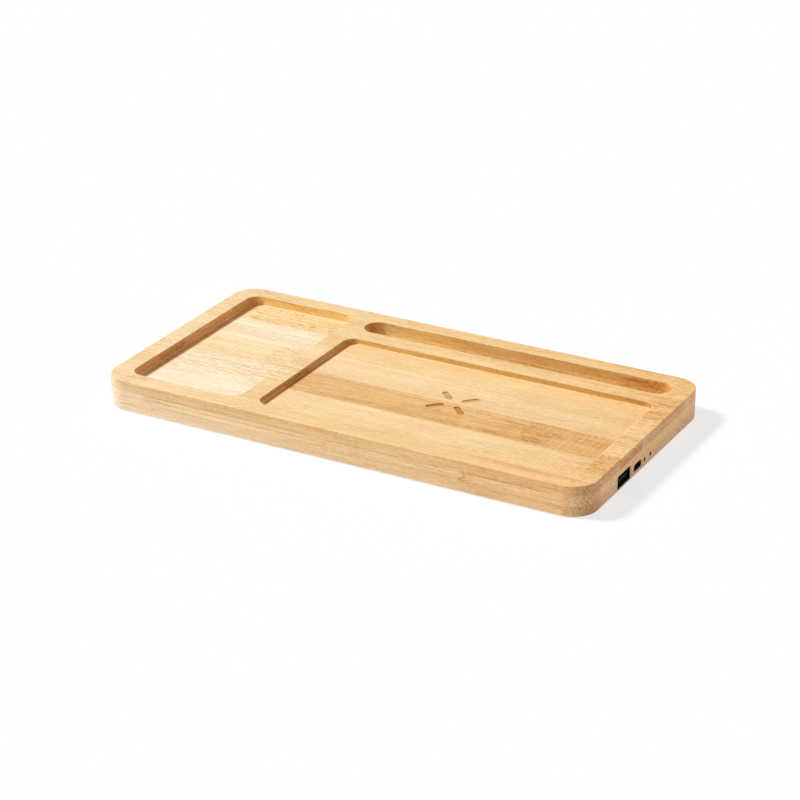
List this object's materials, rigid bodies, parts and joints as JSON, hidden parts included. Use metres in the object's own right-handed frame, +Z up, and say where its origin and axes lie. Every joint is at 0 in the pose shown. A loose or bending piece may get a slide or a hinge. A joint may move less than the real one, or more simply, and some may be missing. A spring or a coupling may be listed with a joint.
{
  "type": "wireless charger",
  "caption": "Bamboo desk tray with a catch-all pocket, pen slot and phone pocket over a hidden wireless charging coil, with USB sockets in its end.",
  "frame": {"origin": "on the table under the middle of the slab", "axes": "+X along the slab towards the end with the sockets, +Y across it towards the pen slot, +Z up"},
  "size_m": [0.25, 0.13, 0.0153],
  "materials": {
    "bamboo": "sanded, satin oiled, laminated pale and caramel strips along the length",
    "cover_plastic": "fine moulded texture, matt black",
    "coil_copper": "enamelled copper litz wire",
    "ferrite": "pressed ferrite, dull dark grey",
    "foam": "soft open foam, dark grey",
    "board_laminate": "green solder mask",
    "chip_plastic": "moulded epoxy, matt black",
    "socket_metal": "black nickel plated sheet",
    "socket_plastic": "moulded black insulator",
    "screw_steel": "zinc plated",
    "contact_gold": "gold flashed spring contacts",
    "capacitor_ceramic": "fired ceramic with tinned ends",
    "light_body": "smoky moulded lens",
    "foot_rubber": "soft matt silicone"
  },
  "bodies": {
    "root": {"tray": "bamboo", "bottom_cover": "cover_plastic", "charging_coil": "coil_copper", "ferrite_sheet": "ferrite", "foam_pad": "foam", "circuit_board": "board_laminate", "charge_controller": "chip_plastic", "usb_output_controller": "chip_plastic", "power_inductor": "ferrite", "usb_a_shell": "socket_metal", "micro_usb_shell": "socket_metal", "usb_a_tongue": "socket_plastic", "micro_usb_tongue": "socket_plastic", "cover_screw_1": "screw_steel", "cover_screw_2": "screw_steel", "cover_screw_3": "screw_steel", "cover_screw_4": "screw_steel", "cover_screw_5": "screw_steel", "cover_screw_6": "screw_steel", "board_screw_1": "screw_steel", "usb_a_contact_1": "contact_gold", "resonant_capacitor_1": "capacitor_ceramic", "board_screw_2": "screw_steel", "usb_a_contact_2": "contact_gold", "resonant_capacitor_2": "capacitor_ceramic", "board_screw_3": "screw_steel", "usb_a_contact_3": "contact_gold", "resonant_capacitor_3": "capacitor_ceramic", "board_screw_4": "screw_steel", "usb_a_contact_4": "contact_gold", "resonant_capacitor_4": "capacitor_ceramic", "coil_driver_1": "chip_plastic", "input_capacitor_1": "capacitor_ceramic", "status_light_1": "light_body", "coil_driver_2": "chip_plastic", "input_capacitor_2": "capacitor_ceramic", "status_light_2": "light_body", "foot_front_left": "foot_rubber", "foot_front_right": "foot_rubber", "foot_back_left": "foot_rubber", "foot_back_right": "foot_rubber"}
  },
  "joints": []
}
